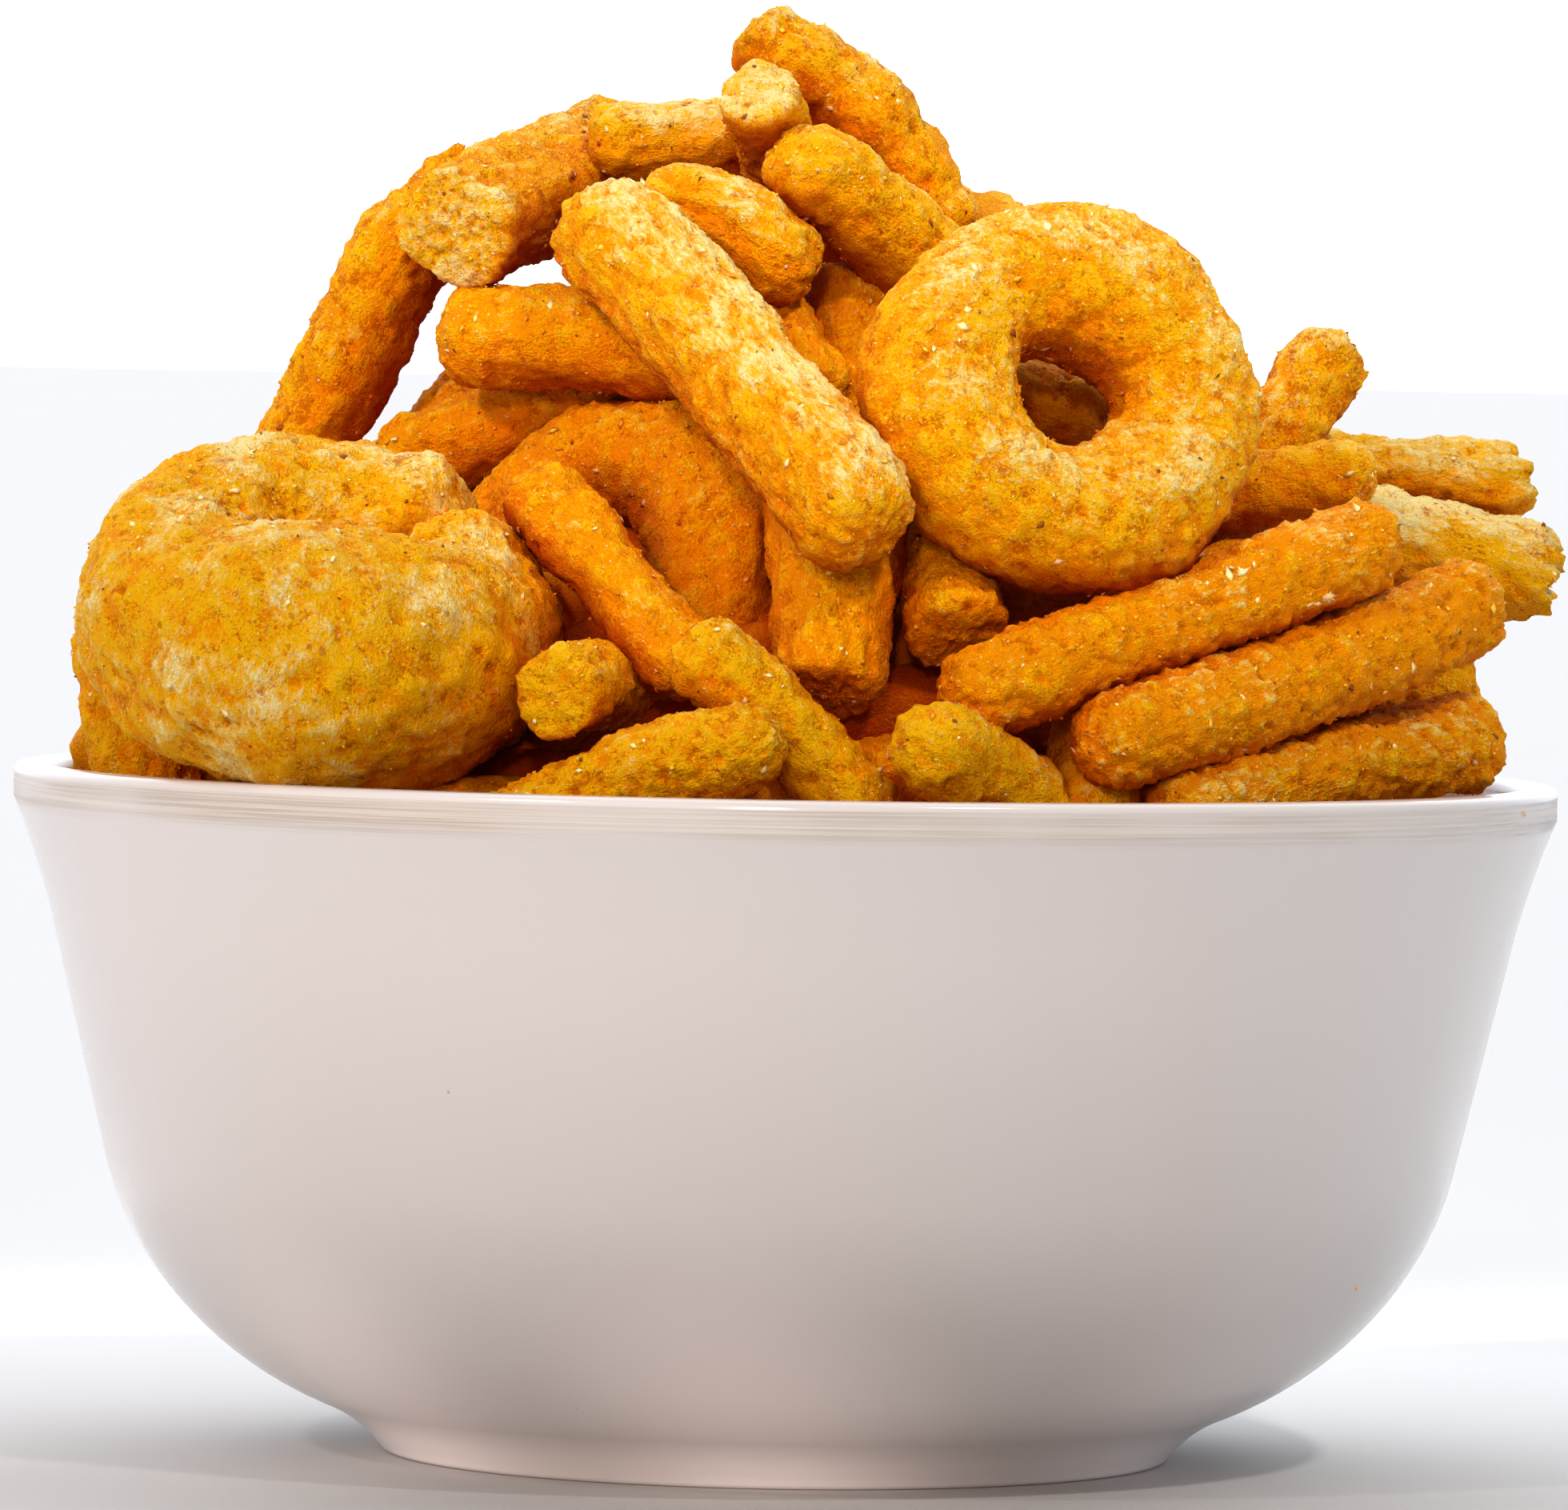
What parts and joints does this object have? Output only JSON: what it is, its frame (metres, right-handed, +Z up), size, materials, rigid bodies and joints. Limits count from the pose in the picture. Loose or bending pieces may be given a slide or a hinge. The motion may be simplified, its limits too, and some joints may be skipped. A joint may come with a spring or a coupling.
{
  "type": "bowl of corn puffs",
  "caption": "Round white footed bowl heaped above its rim with golden seasoned corn puffs, extruded sticks and fat rings, for serving as a snack.",
  "frame": {"origin": "centre of the foot's underside, on the bowl's axis", "axes": "+Z up along the bowl's axis, -Y towards the side that the picture shows, +X to that view's right"},
  "size_m": [0.14, 0.14, 0.1316],
  "materials": {
    "bowl_white": "smooth white moulded melamine with a soft gloss, its rim's upright band sanded matt",
    "corn_puff": "dry, porous puffed corn with a golden orange seasoning dust and small brown specks"
  },
  "bodies": {
    "root": {"bowl": "bowl_white", "puff_heap": "corn_puff"}
  },
  "joints": []
}
